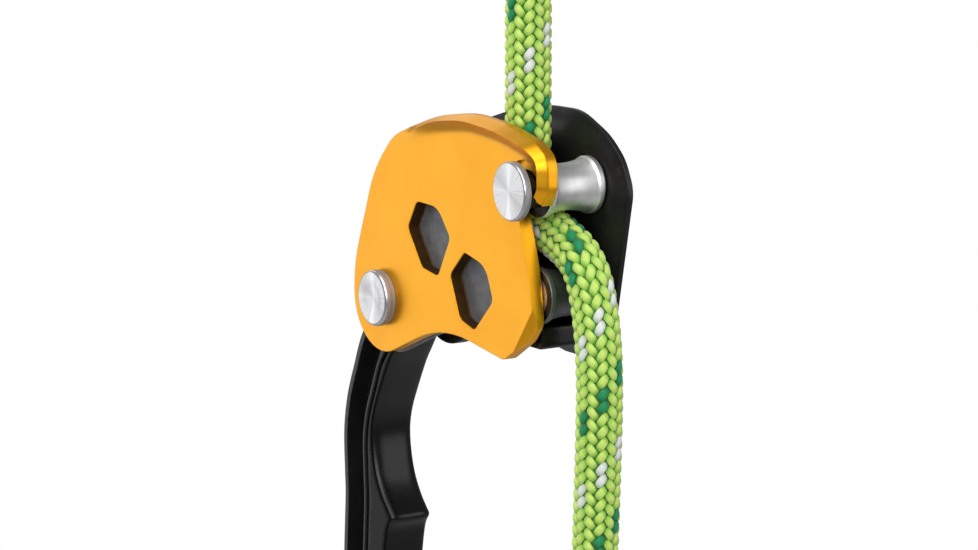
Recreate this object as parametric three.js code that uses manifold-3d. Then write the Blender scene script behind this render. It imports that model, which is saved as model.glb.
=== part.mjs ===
// Rope friction brake head with an articulated arm, for arborist single-rope work.
// Millimetres. X runs from the arm pivot towards the rope side, Y from the opening
// side plate towards the fixed side plate, Z up. The origin is the axis of the
// upper bollard, halfway between the two side plates.
import * as THREE from 'three';
import { mergeVertices } from 'three/addons/utils/BufferGeometryUtils.js';
import Module from 'manifold-3d';

// ---- driving dimensions -------------------------------------------------------
const ROPE_D = 12.5;             // rope the channel is made for
const CHANNEL_W = 16.9;          // length of the bollards, between the side plates
const MOBILE_T = 3.6;            // opening side plate
const FIXED_T = 4.2;             // fixed side plate
const LINER_T = 1.0;             // wear plate on the front of the block
const GAP = 0.3;                 // between pieces that touch
const RUN = 0.4;                 // running clearance of the opening side plate

const WAIST_R = 6.2;             // bollard, at mid-length
const FLANGE_R = 7.6;            // bollard, at its ends
const LOWER_X = -0.2;            // lower bollard axis
const LOWER_Z = -28.1;
const PIVOT_X = -71.7;           // common axis of the opening plate and the arm
const PIVOT_Z = -39.1;

const HEAD_R = 7.8;              // flat head over the hook
const HEAD_T = 2.2;
const HEAD_STAND_OFF = 2.4;      // between the head and the opening plate
const NECK_R = 4.8;
const NECK_PLAY = 0.4;
const SHANK_R = 3.6;             // bollard bolts
const NUT_R = 6.5;
const NUT_T = 4.0;
const SUNK_NUT_R = 5.6;          // round nut of the lower bolt, flush with the fixed plate
const SUNK_NUT_T = 2.4;

const AXLE_R = 4.5;
const AXLE_HEAD_R = 7.9;
const AXLE_HEAD_T = 1.9;
const AXLE_WASHER_T = 0.9;
const BUSH_WALL = 1.4;

const LOBE_R = 15.3;             // plates, around the pivot
const LIP_H = 3.2;               // rolled top edge of the opening plate
const LIP_OUT = 2.8;
const RECESS_R = 7.9;            // shallow seat around the hook slot
const RECESS_T = 1.4;

const ARM_Y = 0.75;              // middle of the arm between the plates
const ARM_W = 12.2;              // bar, across X
const ARM_T = 13.6;              // bar, along Y
const ARM_LENGTH = 172;          // pivot to lower eye, along Z
const ARM_EYE_R = 11.5;
const ARM_HUB_R = 10.5;
const ARM_BORE_R = 5.6;          // lower eye, inside its bush
const POCKET_T = 5;              // channel in the bar's front and rear faces
const RIM_W = 2.1;               // beside the channel, away from the rope
const RIM_ROPE_W = 1.1;          // and on the rope side

const SCREW_R = 1.9;
const SCREW_HEAD_R = 3.6;
const BLOCK_SCREWS = [[-44, -12], [-26, -34]];

const SLEEVE_WALL = 1.1;         // shrunk sleeves on the rope
const TOP_SLEEVE_L = 36;
const END_SLEEVE_L = 30;

// ---- planes along Y, from the front -------------------------------------------
const REAR_FACE = CHANNEL_W / 2;                     // bollard ends
const FRONT_FACE = -REAR_FACE;
const MID_Y = 0;
const MOBILE_BACK = FRONT_FACE - RUN;
const MOBILE_FRONT = MOBILE_BACK - MOBILE_T;
const LINER_FRONT = FRONT_FACE;
const LINER_BACK = LINER_FRONT + LINER_T;
const BLOCK_FRONT = LINER_BACK + GAP;
const FIXED_FRONT = REAR_FACE + GAP;
const FIXED_BACK = FIXED_FRONT + FIXED_T;
const HEAD_BACK = MOBILE_FRONT - HEAD_STAND_OFF;
const HEAD_FRONT = HEAD_BACK - HEAD_T;
const NUT_FRONT = FIXED_BACK + GAP;
const NUT_BACK = NUT_FRONT + NUT_T;
const BOLT_END = NUT_BACK + 0.8;
const SUNK_NUT_FRONT = FIXED_BACK - SUNK_NUT_T;
const WASHER_BACK = MOBILE_FRONT - GAP;
const WASHER_FRONT = WASHER_BACK - AXLE_WASHER_T;
const AXLE_HEAD_BACK = WASHER_FRONT - GAP;
const AXLE_HEAD_FRONT = AXLE_HEAD_BACK - AXLE_HEAD_T;
const ARM_FRONT = ARM_Y - ARM_T / 2;
const ARM_BACK = ARM_Y + ARM_T / 2;
const HOLE_R = SHANK_R + GAP;
const AXLE_HOLE_R = AXLE_R + GAP;
const BUSH_OUT_R = AXLE_HOLE_R + BUSH_WALL;
const HOOK_RADIUS = Math.hypot(PIVOT_X, PIVOT_Z);    // pivot to neck axis
const HOOK_ANGLE = Math.atan2(-PIVOT_Z, -PIVOT_X);
const SLOT_R = NECK_R + NECK_PLAY;
const HOOK_REACH = 0.07;                             // of the tip past the neck, radians
const ARM_EYE_X = PIVOT_X - 26.6;
const ARM_EYE_Z = PIVOT_Z - ARM_LENGTH;
const ROPE_R = ROPE_D / 2;

// ---- colours ------------------------------------------------------------------
const material = (color, roughness, metalness) =>
  new THREE.MeshStandardMaterial({ color, roughness, metalness });
const gold = () => material(0xf5ad22, 0.38, 0.85);
const blackForged = () => material(0x17181a, 0.42, 0.6);
const blackPlastic = () => material(0x1b1c1e, 0.6, 0);
const steel = () => material(0xc9cbcc, 0.3, 1);
const greySteel = () => material(0x7d7e80, 0.55, 0.8);
const bronze = () => material(0x9a7440, 0.45, 0.9);
const ropeGreen = () => material(0xa6d65c, 0.9, 0);
const sleeveBlack = () => material(0x202124, 0.55, 0);

// ---- solids -------------------------------------------------------------------
const wasm = await Module();
wasm.setup();

function solid(geometry) {
  const plain = geometry.clone();
  plain.deleteAttribute('normal');
  plain.deleteAttribute('uv');
  const merged = mergeVertices(plain, 1e-4);
  const vertices = new Float32Array(merged.attributes.position.array);
  const triangles = new Uint32Array(merged.index.array);
  let volume = 0;
  const corner = (i) => new THREE.Vector3().fromArray(vertices, 3 * triangles[i]);
  for (let i = 0; i < triangles.length; i += 3) {
    volume += corner(i).dot(corner(i + 1).cross(corner(i + 2)));
  }
  if (volume < 0) triangles.reverse();
  const mesh = new wasm.Mesh({ numProp: 3, vertProperties: vertices, triVerts: triangles });
  return new wasm.Manifold(mesh);
}

const assembly = new THREE.Group();

function add(name, body, finish) {
  const { vertProperties, triVerts } = body.getMesh();
  const geometry = new THREE.BufferGeometry();
  geometry.setAttribute('position', new THREE.BufferAttribute(vertProperties, 3));
  geometry.setIndex(new THREE.BufferAttribute(triVerts, 1));
  geometry.computeVertexNormals();
  const mesh = new THREE.Mesh(geometry, finish);
  mesh.name = name;
  assembly.add(mesh);
}

// Closed outline from corners [x, z, fillet radius]; each fillet is a true arc.
function outline(corners) {
  const shape = new THREE.Shape();
  corners.forEach(([x, z, radius], i) => {
    const at = new THREE.Vector2(x, z);
    const before = corners.at(i - 1);
    const after = corners[(i + 1) % corners.length];
    const into = new THREE.Vector2(before[0], before[1]).sub(at);
    const out = new THREE.Vector2(after[0], after[1]).sub(at);
    const half = Math.acos(into.clone().normalize().dot(out.clone().normalize())) / 2;
    const room = Math.min(into.length(), out.length()) * 0.76;
    const reach = Math.min(radius / Math.tan(half), room);
    const r = reach * Math.tan(half);
    const start = at.clone().add(into.clone().setLength(reach));
    const end = at.clone().add(out.clone().setLength(reach));
    if (i === 0) shape.moveTo(start.x, start.y);
    else shape.lineTo(start.x, start.y);
    if (r < 0.05) return;
    const bisector = into.clone().normalize().add(out.clone().normalize());
    const centre = at.clone().add(bisector.setLength(r / Math.sin(half)));
    const a0 = Math.atan2(start.y - centre.y, start.x - centre.x);
    const a1 = Math.atan2(end.y - centre.y, end.x - centre.x);
    shape.absarc(centre.x, centre.y, r, a0, a1, into.cross(out) > 0);
  });
  shape.closePath();
  return shape;
}

// Solid of an outline in the XZ plane between two planes of Y.
function slab(shape, y0, y1, segments = 3) {
  const depth = y1 - y0;
  const options = { depth, bevelEnabled: false, curveSegments: segments };
  const geometry = new THREE.ExtrudeGeometry(shape, options);
  geometry.rotateX(Math.PI / 2);
  geometry.translate(0, y1, 0);
  return solid(geometry);
}

// Solid of revolution about an axis along Y at (x, z); the profile is [radius, y].
function turned(profile, x, z, segments = 24) {
  const points = profile.map(([r, y]) => new THREE.Vector2(r, y));
  const geometry = new THREE.LatheGeometry(points, segments);
  geometry.translate(x, 0, z);
  return solid(geometry);
}

const disc = (radius, y0, y1, x, z, segments = 24) =>
  turned([[0, y0], [radius, y0], [radius, y1], [0, y1]], x, z, segments);

const ring = (inner, outer, y0, y1, x, z, segments = 24) =>
  turned([[inner, y0], [outer, y0], [outer, y1], [inner, y1], [inner, y0]], x, z, segments);

const shifted = (corners, dx, dz) => corners.map(([x, z, r]) => [x + dx, z + dz, r]);

// ---- outlines -------------------------------------------------------------------
// Both plates share the lobe around the pivot and the arch above the arm.
const lobeSide = PIVOT_X - LOBE_R;
const archSlope = 0.43;
const lobeFloor = PIVOT_Z - LOBE_R * Math.hypot(1, archSlope);
const LOBE_CORNER = [lobeSide, lobeFloor - archSlope * LOBE_R, LOBE_R];
const ARCH_TOP = [PIVOT_X + 31.7, lobeFloor + archSlope * 31.7, 50];
const SHOULDER = [
  [-42, 15.2, 60],
  [-56, 10.6, 50],
  [-65.5, 7, 18],
  [-75.8, -3.6, 34],
  [lobeSide, -31.5, 36],
];

const hookSide = HOOK_RADIUS + SLOT_R;
const edgeX = PIVOT_X + HOOK_RADIUS - SLOT_R;
const MOBILE_CORNERS = [
  [edgeX, -35, 5],
  [edgeX, -6, 0],
  [7.4, -3.9, 0.5],
  [10.7, 0.8, 5],
  [10.6, 9.2, 3.5],
  [4.6, 12.9, 14],
  [-10, 16, 60],
  [-26, 17.2, 50],
  ...SHOULDER,
  LOBE_CORNER,
  ARCH_TOP,
  [-9.3, -46.4, 4],
  [1, -39.9, 7],
];
const FIXED_CORNERS = [
  [2, -46.6, 7],
  [7, -34, 20],
  [13.9, -0.5, 9],
  [10.2, 7.3, 14],
  [3.4, 13, 25],
  [-9.5, 18.4, 22],
  [-24, 18.2, 40],
  ...SHOULDER,
  LOBE_CORNER,
  ARCH_TOP,
  [-12, -46.6, 6],
];
const WINDOW_UPPER = [
  [-52.9, -9.6, 2.5], [-42.2, -9.9, 7], [-35.8, -17.4, 1.8],
  [-42, -28.7, 1.8], [-50.3, -27.4, 3], [-57.7, -17.5, 2.5],
];
const WINDOW_LOWER = [
  [-28.6, -20.3, 1.8], [-18.2, -22.6, 7], [-14.5, -31.4, 2.5],
  [-23.6, -40.6, 2], [-30.9, -38.6, 3], [-35.9, -27.4, 2.5],
];

// The block fills the plates' left side and runs under the lower bollard.
const shelfTop = LOWER_Z - FLANGE_R - 0.7;
const BLOCK_CORNERS = [
  [1, -42.6, 1.5],
  [1, shelfTop, 1.2],
  [LOWER_X - FLANGE_R - 1.4, shelfTop, 3],
  [LOWER_X - FLANGE_R - 1.4, -22.2, 2],
  [-20, -19.6, 4],
  [-25, -10, 6],
  [-25, 10.5, 2],
  [-53, 5, 6],
  [-59, -18, 8],
  [-53, -33, 8],
  [-40, -42.6, 8],
];
const LINER_CORNERS = [
  [LOWER_X - FLANGE_R - 2, -43, 2],
  [LOWER_X - FLANGE_R - 2, -23, 2],
  [-20, -20, 4],
  [-25.4, -10, 6],
  [-25.4, 9, 2],
  [-54, 3, 6],
  [-68, -9, 12],
  [lobeSide + 1, -32, 20],
  ...shifted([LOBE_CORNER, ARCH_TOP], 0, -0.6),
];

// ---- fixed head -----------------------------------------------------------------
function makeFixedPlate() {
  let plate = slab(outline(FIXED_CORNERS), FIXED_FRONT, FIXED_BACK, 4);
  plate = plate.subtract(disc(HOLE_R, FIXED_FRONT - 1, FIXED_BACK + 1, 0, 0));
  plate = plate.subtract(disc(HOLE_R, FIXED_FRONT - 1, FIXED_BACK + 1, LOWER_X, LOWER_Z));
  plate = plate.subtract(disc(AXLE_HOLE_R, FIXED_FRONT - 1, FIXED_BACK + 1, PIVOT_X, PIVOT_Z));
  const seat = disc(SUNK_NUT_R + GAP, SUNK_NUT_FRONT - GAP, FIXED_BACK + 1, LOWER_X, LOWER_Z);
  plate = plate.subtract(seat);
  for (const [x, z] of BLOCK_SCREWS) plate = plate.subtract(screwBody(x, z, GAP));
  add('fixed_plate', plate, blackForged());
}

// Countersunk screw from the rear; room widens it for the hole that takes it.
function screwBody(x, z, room) {
  const tip = FIXED_FRONT - 9 - room;
  const back = FIXED_BACK + room;
  const cone = FIXED_BACK - (SCREW_HEAD_R - SCREW_R) - 0.6;
  return turned([
    [0, tip],
    [SCREW_R + room, tip],
    [SCREW_R + room, cone],
    [SCREW_HEAD_R + room, FIXED_BACK - 0.6],
    [SCREW_HEAD_R + room, back],
    [0, back],
  ], x, z, 16);
}

function makeBlock() {
  let block = slab(outline(BLOCK_CORNERS), BLOCK_FRONT, REAR_FACE);
  for (const [x, z] of BLOCK_SCREWS) block = block.subtract(screwBody(x, z, GAP));
  add('channel_block', block, blackPlastic());
  BLOCK_SCREWS.forEach(([x, z], i) => add(`block_screw_${i + 1}`, screwBody(x, z, 0), steel()));
  const liner = slab(outline(LINER_CORNERS), LINER_FRONT, LINER_BACK)
    .subtract(disc(AXLE_HOLE_R, LINER_FRONT - 1, LINER_BACK + 1, PIVOT_X, PIVOT_Z));
  add('liner_plate', liner, greySteel());
}

// Waisted sleeve; the profile is a circular hollow between two rims.
function bollardSleeve(x, z, counterbore) {
  const rim = 1.6;
  const hollow = REAR_FACE - rim;
  const sag = FLANGE_R - 0.3 - WAIST_R;
  const steps = 8;
  const profile = [];
  for (let i = 0; i <= steps; i += 1) {
    const y = -hollow + 2 * hollow * i / steps;
    profile.push([WAIST_R + sag * (y / hollow) ** 2, y]);
  }
  const sleeve = turned([
    [HOLE_R, FRONT_FACE],
    [FLANGE_R - 0.5, FRONT_FACE],
    [FLANGE_R, FRONT_FACE + 0.5],
    ...profile,
    [FLANGE_R, REAR_FACE - 0.5],
    [FLANGE_R - 0.5, REAR_FACE],
    [HOLE_R, REAR_FACE],
    [HOLE_R, FRONT_FACE],
  ], x, z, 28);
  if (!counterbore) return sleeve;
  const floor = FRONT_FACE + counterbore.depth;
  return sleeve.subtract(disc(counterbore.radius, FRONT_FACE - 1, floor, x, z));
}

function makeBollards() {
  const sunkHead = { radius: SHANK_R + 2, depth: 3.2 };
  add('upper_bollard', bollardSleeve(0, 0, null), steel());
  add('lower_bollard', bollardSleeve(LOWER_X, LOWER_Z, sunkHead), steel());
  const neckBack = FRONT_FACE - GAP;
  const chamfer = 0.5;
  add('upper_bolt', turned([
    [0, HEAD_FRONT],
    [HEAD_R - chamfer, HEAD_FRONT],
    [HEAD_R, HEAD_FRONT + chamfer],
    [HEAD_R, HEAD_BACK],
    [NECK_R, HEAD_BACK],
    [NECK_R, neckBack],
    [SHANK_R, neckBack],
    [SHANK_R, BOLT_END],
    [0, BOLT_END],
  ], 0, 0, 32), steel());
  const sunkBack = FRONT_FACE + sunkHead.depth - GAP;
  add('lower_bolt', turned([
    [0, FRONT_FACE],
    [sunkHead.radius - GAP, FRONT_FACE],
    [sunkHead.radius - GAP, sunkBack],
    [SHANK_R, sunkBack],
    [SHANK_R, FIXED_BACK],
    [0, FIXED_BACK],
  ], LOWER_X, LOWER_Z), steel());
}

function hexNut(x, z, bore, radius) {
  const hexagon = disc(radius, NUT_FRONT, NUT_BACK, x, z, 6);
  return hexagon.subtract(disc(bore, NUT_FRONT - 1, NUT_BACK + 1, x, z));
}

function makeNuts() {
  add('upper_nut', hexNut(0, 0, HOLE_R, NUT_R), steel());
  add('lower_nut', ring(HOLE_R, SUNK_NUT_R, SUNK_NUT_FRONT, FIXED_BACK, LOWER_X, LOWER_Z), steel());
  add('pivot_nut', hexNut(PIVOT_X, PIVOT_Z, AXLE_HOLE_R, NUT_R + 1.2), steel());
}

function makePivot() {
  const dish = 0.4;
  const round = 0.6;
  add('pivot_axle', turned([
    [0, AXLE_HEAD_FRONT + dish],
    [AXLE_HEAD_R - 2.6, AXLE_HEAD_FRONT + dish],
    [AXLE_HEAD_R - 1.6, AXLE_HEAD_FRONT],
    [AXLE_HEAD_R - round, AXLE_HEAD_FRONT],
    [AXLE_HEAD_R, AXLE_HEAD_FRONT + round],
    [AXLE_HEAD_R, AXLE_HEAD_BACK],
    [AXLE_R, AXLE_HEAD_BACK],
    [AXLE_R, BOLT_END],
    [0, BOLT_END],
  ], PIVOT_X, PIVOT_Z, 32), steel());
  add('pivot_head_washer',
    ring(AXLE_HOLE_R, AXLE_HEAD_R - 0.1, WASHER_FRONT, WASHER_BACK, PIVOT_X, PIVOT_Z), steel());
  add('arm_washer_front',
    ring(AXLE_HOLE_R, ARM_HUB_R - 1, LINER_BACK + GAP, ARM_FRONT - GAP, PIVOT_X, PIVOT_Z), bronze());
  add('arm_washer_rear',
    ring(AXLE_HOLE_R, ARM_HUB_R - 1, ARM_BACK + GAP, FIXED_FRONT - GAP, PIVOT_X, PIVOT_Z), bronze());
}

// ---- opening side plate -----------------------------------------------------------
// The slot is the path of the neck about the pivot, open below the hook.
function makeMobilePlate() {
  const shape = outline(MOBILE_CORNERS);
  const front = MOBILE_FRONT - LIP_OUT - 1;
  const back = MOBILE_BACK + 1;
  const lip = slab(shape, MOBILE_FRONT - LIP_OUT, MOBILE_FRONT)
    .subtract(slab(outline(shifted(MOBILE_CORNERS, -0.4, -LIP_H)), front, back))
    .subtract(slab(outline([[20, -70, 0], [20, -2, 0], [-100, -2, 0], [-100, -70, 0]]), -40, 40));
  let plate = slab(shape, MOBILE_FRONT, MOBILE_BACK).add(lip);
  const sweep = new THREE.Shape();
  sweep.absarc(PIVOT_X, PIVOT_Z, HOOK_RADIUS - SLOT_R, HOOK_ANGLE, HOOK_ANGLE - 0.5, true);
  sweep.absarc(PIVOT_X, PIVOT_Z, hookSide, HOOK_ANGLE - 0.5, HOOK_ANGLE, false);
  plate = plate.subtract(slab(sweep, front, back, 8));
  const below = new THREE.Shape();
  const tip = HOOK_ANGLE - HOOK_REACH;
  below.absarc(PIVOT_X, PIVOT_Z, HOOK_RADIUS - SLOT_R, tip, HOOK_ANGLE - 0.6, true);
  below.absarc(PIVOT_X, PIVOT_Z, hookSide + 20, HOOK_ANGLE - 0.6, tip, false);
  plate = plate.subtract(slab(below, front, back, 8));
  plate = plate.subtract(disc(SLOT_R, front, back, 0, 0));
  plate = plate.subtract(disc(RECESS_R, front, MOBILE_FRONT + RECESS_T, 0, 0, 32));
  plate = plate.subtract(slab(outline(WINDOW_UPPER), front, back));
  plate = plate.subtract(slab(outline(WINDOW_LOWER), front, back));
  plate = plate.subtract(disc(BUSH_OUT_R + GAP, front, back, PIVOT_X, PIVOT_Z));
  add('mobile_plate', plate, gold());
  add('mobile_plate_bush',
    ring(AXLE_HOLE_R, BUSH_OUT_R, MOBILE_FRONT, MOBILE_BACK, PIVOT_X, PIVOT_Z), bronze());
}

// ---- articulated arm ----------------------------------------------------------------
// Left and right edges of the bar follow one centre line, down-left from the hub and
// then straight down to the eye.
const ARM_LINE = new THREE.CatmullRomCurve3([
  [PIVOT_X, PIVOT_Z],
  [PIVOT_X - 16.4, PIVOT_Z - 16.8],
  [PIVOT_X - 21.6, PIVOT_Z - 27.4],
  [PIVOT_X - 25.2, PIVOT_Z - 36.2],
  [PIVOT_X - 26.9, PIVOT_Z - 45],
  [PIVOT_X - 26.7, PIVOT_Z - 56],
  [PIVOT_X - 26.4, PIVOT_Z - 63],
  [PIVOT_X - 26.9, PIVOT_Z - 72],
  [PIVOT_X - 27.6, PIVOT_Z - 84],
  [PIVOT_X - 27.7, PIVOT_Z - 105],
  [PIVOT_X - 27.2, PIVOT_Z - 135],
  [ARM_EYE_X, ARM_EYE_Z],
].map(([x, z]) => new THREE.Vector3(x, z, 0)), false, 'centripetal');

function armEdge(offset, from, to, steps) {
  const edge = [];
  for (let i = 0; i <= steps; i += 1) {
    const t = from + (to - from) * i / steps;
    const at = ARM_LINE.getPointAt(t);
    const along = ARM_LINE.getTangentAt(t);
    edge.push(new THREE.Vector2(at.x + along.y * offset, at.y - along.x * offset));
  }
  return edge;
}

const armBand = (left, right, from, to, steps = 18) =>
  new THREE.Shape([...armEdge(left, from, to, steps), ...armEdge(right, from, to, steps).reverse()]);

function makeArm() {
  const half = ARM_W / 2;
  let bar = slab(armBand(-half, half, 0.02, 0.99, 28), ARM_FRONT, ARM_BACK)
    .add(disc(ARM_HUB_R, ARM_FRONT, ARM_BACK, PIVOT_X, PIVOT_Z))
    .add(disc(ARM_EYE_R, ARM_FRONT, ARM_BACK, ARM_EYE_X, ARM_EYE_Z));
  const faces = [[ARM_FRONT - 1, ARM_FRONT + POCKET_T], [ARM_BACK - POCKET_T, ARM_BACK + 1]];
  for (const [y0, y1] of faces) {
    bar = bar.subtract(slab(armBand(RIM_ROPE_W - half, half - RIM_W, 0.11, 0.88), y0, y1));
  }
  const hub = BUSH_OUT_R + GAP;
  const eye = ARM_BORE_R + BUSH_WALL + GAP;
  bar = bar.subtract(disc(hub, ARM_FRONT - 1, ARM_BACK + 1, PIVOT_X, PIVOT_Z));
  bar = bar.subtract(disc(eye, ARM_FRONT - 1, ARM_BACK + 1, ARM_EYE_X, ARM_EYE_Z));
  add('arm_bar', bar, blackForged());
  add('arm_pivot_bush',
    ring(AXLE_HOLE_R, BUSH_OUT_R, ARM_FRONT, ARM_BACK, PIVOT_X, PIVOT_Z), bronze());
  add('arm_eye_bush',
    ring(ARM_BORE_R, ARM_BORE_R + BUSH_WALL, ARM_FRONT, ARM_BACK, ARM_EYE_X, ARM_EYE_Z), steel());
}

// Finger grip on the rope side of the bar: thickness [share of arm length, mm].
const GRIP_PROFILE = [
  [0.055, 2.2], [0.085, 3.2], [0.116, 3.8], [0.19, 3.6], [0.233, 3.4], [0.273, 3.7],
  [0.32, 4.7], [0.358, 6.4], [0.389, 9.6], [0.401, 12.4], [0.407, 13.9], [0.413, 13.9],
  [0.425, 12.4], [0.447, 11.6], [0.51, 10.5], [0.549, 10], [0.588, 11.4], [0.624, 12.8],
  [0.662, 12.3], [0.703, 8.9], [0.738, 3.8], [0.75, 2.2],
];

function makeGrip() {
  const inner = ARM_W / 2 + GAP;
  const first = GRIP_PROFILE[0][0];
  const last = GRIP_PROFILE.at(-1)[0];
  const outer = GRIP_PROFILE.map(([t, thickness]) => {
    const at = ARM_LINE.getPointAt(t);
    const along = ARM_LINE.getTangentAt(t);
    const reach = inner + thickness;
    return new THREE.Vector2(at.x - along.y * reach, at.y + along.x * reach);
  });
  const wave = new THREE.SplineCurve(outer).getPoints(48);
  const back = armEdge(-inner, first, last, 26);
  const shape = new THREE.Shape([...wave, ...back.reverse()]);
  add('arm_grip', slab(shape, ARM_FRONT, ARM_BACK), blackPlastic());
}

// ---- rope -------------------------------------------------------------------------
// Route of the rope, [x, z], both ways from the joint beside the upper bollard.
const UPPER_ROUTE = [
  [-16.05, -1.2], [-16.22, -0.4], [-16.5, 1.4], [-16.6, 3], [-16.6, 6], [-16.6, 10],
  [-16.6, 20], [-16.6, 34], [-16.6, 48], [-16.6, 62], [-16.6, 78],
];
const LOWER_ROUTE = [
  [-15.98, -1.52], [-15.81, -2.32], [-15.0, -4.3], [-13.5, -6.5], [-11.4, -8.8], [-8.7, -10.8],
  [-5.5, -12.3], [-1.9, -13.45], [2.2, -14.9], [6.0, -16.7], [8.8, -18.7], [10.9, -21.1],
  [12.6, -24.0], [14.0, -27.8], [15.1, -32], [16.1, -37], [16.8, -43], [17.15, -50],
  [17.1, -58], [16.8, -67], [16.4, -77], [15.9, -88], [15.4, -99], [15.1, -108],
];
const ROPE_TOP = UPPER_ROUTE.at(-1);
const ROPE_BOTTOM = LOWER_ROUTE.at(-1);
const LEG = ROPE_R + 0.35;

function tube(points, radius, steps, sides) {
  const route = points.map(([x, z]) => new THREE.Vector3(x, MID_Y, z));
  const path = new THREE.CatmullRomCurve3(route, false, 'centripetal');
  const section = new THREE.Shape();
  section.absarc(0, 0, radius, 0, 2 * Math.PI, false);
  const options = { steps, extrudePath: path, curveSegments: sides / 2, bevelEnabled: false };
  return solid(new THREE.ExtrudeGeometry(section, options));
}

// Upright sleeve with rounded ends to its section, half-width apart either side of x.
function uprightSleeve(x, z0, z1, spread, radius) {
  const section = new THREE.Shape();
  section.absarc(spread, 0, radius, -Math.PI / 2, Math.PI / 2, false);
  section.absarc(-spread, 0, radius, Math.PI / 2, 3 * Math.PI / 2, false);
  const depth = z1 - z0;
  const geometry = new THREE.ExtrudeGeometry(section, { depth, bevelEnabled: false, curveSegments: 5 });
  geometry.translate(x, MID_Y, z0);
  return solid(geometry);
}

function makeRope() {
  add('rope_upper', tube(UPPER_ROUTE, ROPE_R, 8, 12), ropeGreen());
  add('rope_lower', tube(LOWER_ROUTE, ROPE_R, 26, 12), ropeGreen());
  const [topX, topZ] = ROPE_TOP;
  const sleeveTop = topZ + GAP + TOP_SLEEVE_L;
  add('rope_top_sleeve',
    uprightSleeve(topX, topZ + GAP, sleeveTop, LEG, ROPE_R + SLEEVE_WALL), sleeveBlack());
  const eyeRise = [
    [-LEG, 0], [-LEG, 4], [-LEG - 5, 16], [-LEG - 10, 27], [-LEG - 7, 38], [0, 45],
  ];
  const left = eyeRise.map(([x, z]) => [topX + x, sleeveTop + GAP + z]);
  const right = eyeRise.slice(0, -1).reverse().map(([x, z]) => [topX - x, sleeveTop + GAP + z]);
  add('rope_top_eye', tube([...left, ...right], ROPE_R, 20, 10), ropeGreen());
  const [endX, endZ] = ROPE_BOTTOM;
  const endTop = endZ - GAP;
  const endR = ROPE_R + SLEEVE_WALL / 2;
  add('rope_end_sleeve',
    uprightSleeve(endX, endTop - END_SLEEVE_L, endTop, 0.01, endR), sleeveBlack());
}

makeFixedPlate();
makeBlock();
makeBollards();
makeNuts();
makePivot();
makeMobilePlate();
makeArm();
makeGrip();
makeRope();

export default assembly;
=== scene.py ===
"""Rope friction brake with an articulated arm: fine surfaces, materials, light and camera.

Shapes are worked out in millimetres in the frame of the CAD model, with X from the arm pivot
towards the rope, Y from the opening side plate to the fixed one, Z up, and scaled on building.
"""
import math

import bmesh
import bpy
import numpy as np
from mathutils import Matrix, Vector
from mathutils.geometry import delaunay_2d_cdt


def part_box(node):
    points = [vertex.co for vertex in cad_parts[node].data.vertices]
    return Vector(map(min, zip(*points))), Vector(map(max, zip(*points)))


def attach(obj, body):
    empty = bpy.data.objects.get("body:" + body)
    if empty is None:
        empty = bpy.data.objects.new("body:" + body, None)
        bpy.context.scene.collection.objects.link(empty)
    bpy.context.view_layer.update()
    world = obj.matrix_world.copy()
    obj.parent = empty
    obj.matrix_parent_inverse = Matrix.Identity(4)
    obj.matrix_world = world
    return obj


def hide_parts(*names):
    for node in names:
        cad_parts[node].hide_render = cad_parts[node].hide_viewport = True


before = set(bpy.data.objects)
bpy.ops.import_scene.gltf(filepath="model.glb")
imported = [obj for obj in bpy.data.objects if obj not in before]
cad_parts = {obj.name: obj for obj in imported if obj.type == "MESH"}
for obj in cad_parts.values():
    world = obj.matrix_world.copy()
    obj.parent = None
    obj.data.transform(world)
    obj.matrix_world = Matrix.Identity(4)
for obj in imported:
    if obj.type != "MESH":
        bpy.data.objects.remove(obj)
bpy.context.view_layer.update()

MM = 0.001


# ---- sizes read from the frame, in millimetres ----------------------------------
def low(node):
    return np.array(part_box(node)[0]) / MM


def high(node):
    return np.array(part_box(node)[1]) / MM


def centre(node):
    return (low(node) + high(node)) / 2


def radius_of(node):
    return (high(node)[0] - low(node)[0]) / 2


PIVOT = centre("pivot_axle")[[0, 2]]
UPPER = centre("upper_bollard")[[0, 2]]
LOWER = centre("lower_bollard")[[0, 2]]
ARM_EYE = centre("arm_eye_bush")[[0, 2]]
BOLLARD_FRONT = low("upper_bollard")[1]
BOLLARD_BACK = high("upper_bollard")[1]
FLANGE_R = radius_of("upper_bollard")
HEAD_R = radius_of("upper_bolt")
FIXED_FRONT = low("fixed_plate")[1]
FIXED_BACK = high("fixed_plate")[1]
MOBILE_BACK = high("mobile_plate")[1]
LIP_FRONT = low("mobile_plate")[1]
MOBILE_FRONT = low("mobile_plate_bush")[1]
LINER_FRONT = low("liner_plate")[1]
LINER_BACK = high("liner_plate")[1]
BLOCK_FRONT = low("channel_block")[1]
HEAD_FRONT = low("upper_bolt")[1]
BOLT_END = high("upper_bolt")[1]
NUT_FRONT = low("upper_nut")[1]
NUT_BACK = high("upper_nut")[1]
ARM_FRONT = low("arm_bar")[1]
ARM_BACK = high("arm_bar")[1]

# ---- sizes of its own, in millimetres ---------------------------------------------
ROPE_R = 6.25
WAIST_R = 6.2
HEAD_T = 2.2
NECK_R = 4.8
SLOT_R = 5.2
RECESS_R = 7.9
RECESS_T = 1.4
SHANK_R = 3.6                      # of both bollard bolts
BOLT_BORE = 3.9                    # round such a shank
LOWER_BORE = 5.7                   # of the lower bollard, round its bolt's thicker part
AXLE_R = 4.5
AXLE_BORE = 4.8                    # round the pivot axle
GAP = 0.3                          # between pieces that stand close
LOBE_R = 15.3
ARM_HALF = 6.1
RIM_W = 2.1
RIM_ROPE_W = 1.1
HUB_R = 10.5
EYE_R = 11.5
HOOK_RADIUS = float(np.hypot(*(UPPER - PIVOT)))
HOOK_ANGLE = float(np.arctan2(*(UPPER - PIVOT)[::-1]))
OUTLINE_STEP = 0.9                 # between mesh points along an outline

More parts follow.
